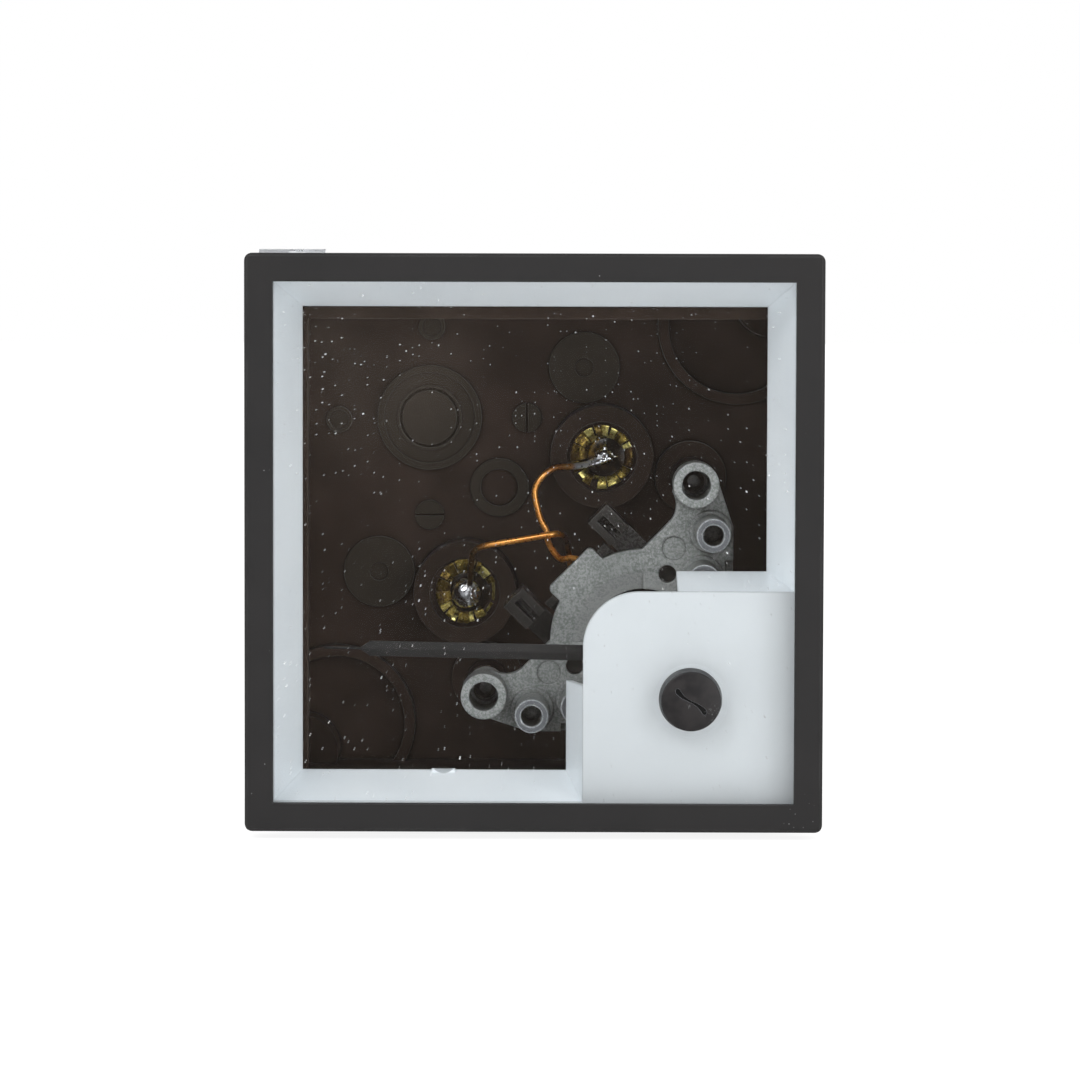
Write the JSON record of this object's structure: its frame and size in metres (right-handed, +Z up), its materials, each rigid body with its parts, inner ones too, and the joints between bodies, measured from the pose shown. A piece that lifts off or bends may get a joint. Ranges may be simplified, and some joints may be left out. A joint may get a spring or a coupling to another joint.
{
  "type": "panel ammeter",
  "caption": "Square flush-mounting moving-iron panel meter with a quarter-circle pointer, shown without its scale plate: bezel, window, white mask, coil movement, zero adjuster and rear studs.",
  "frame": {"origin": "middle of the panel plane, which is the rear face of the bezel", "axes": "+X right and +Z up as one faces the meter; +Y from the front into the panel"},
  "size_m": [0.072, 0.0625, 0.0734],
  "materials": {
    "black_plastic": "fine matt moulding",
    "case_plastic": "dark brown-black moulding",
    "window_clear": "clear acrylic, polished",
    "seal_rubber": "matt",
    "white_plastic": "white moulding, satin",
    "bobbin_plastic": "dark brown moulding",
    "zinc_casting": "raw die casting",
    "zinc_plate": "bright zinc plating",
    "bare_steel": "bare steel sheet",
    "brass_bare": "bare brass",
    "bronze_strip": "rolled bronze",
    "copper_wire": "enamelled copper",
    "solder_tin": "solder",
    "needle_black": "matt black"
  },
  "bodies": {
    "housing": {"case": "case_plastic", "bezel": "black_plastic", "window": "window_clear", "window_seal": "seal_rubber", "mask": "white_plastic", "bridge": "brass_bare", "bridge_screws": "zinc_plate", "front_bearing": "brass_bare", "rear_bearing": "brass_bare", "movement_frame": "zinc_casting", "movement_screws": "zinc_plate", "bobbin": "bobbin_plastic", "winding_core": "copper_wire", "coil_wire": "copper_wire", "fixed_iron": "bare_steel", "terminal_bushes": "brass_bare", "terminal_studs": "brass_bare", "solder_joints": "solder_tin", "terminal_washers": "brass_bare", "terminal_nuts": "brass_bare", "clamp_upper": "zinc_plate", "clamp_lower": "zinc_plate"},
    "adjuster": {"zero_adjuster": "black_plastic"},
    "lever": {"zero_lever": "brass_bare", "hairspring": "bronze_strip"},
    "needle": {"spindle": "bare_steel", "pointer": "needle_black", "balance_weights": "brass_bare", "moving_iron": "bare_steel"},
    "upper_screw": {"clamp_screw_upper": "zinc_plate"},
    "lower_screw": {"clamp_screw_lower": "zinc_plate"}
  },
  "joints": [
    {"name": "adjuster_turn", "type": "hinge", "parent": "housing", "child": "adjuster", "pos_m": [0.0196, 0, -0.0196], "axis": [0, 1, 0], "range_deg": [-40, 40]},
    {"name": "lever_swing", "type": "hinge", "parent": "housing", "child": "lever", "pos_m": [0.01405, 0, -0.01405], "axis": [0, 1, 0], "range_deg": [-5.5, 5.5]},
    {"name": "needle_sweep", "type": "hinge", "parent": "lever", "child": "needle", "pos_m": [0.01405, 0, -0.01405], "axis": [0, 1, 0], "range_deg": [0, 90], "stiffness_Nm_per_rad": 0.0005},
    {"name": "upper_screw_travel", "type": "slide", "parent": "housing", "child": "upper_screw", "axis": [0, 1, 0], "range_m": [-0.002, 0.005]},
    {"name": "lower_screw_travel", "type": "slide", "parent": "housing", "child": "lower_screw", "axis": [0, 1, 0], "range_m": [-0.002, 0.005]}
  ],
  "couplings": [
    {"joint": "lever_swing", "follows": "adjuster_turn", "ratio": 0.1326}
  ]
}
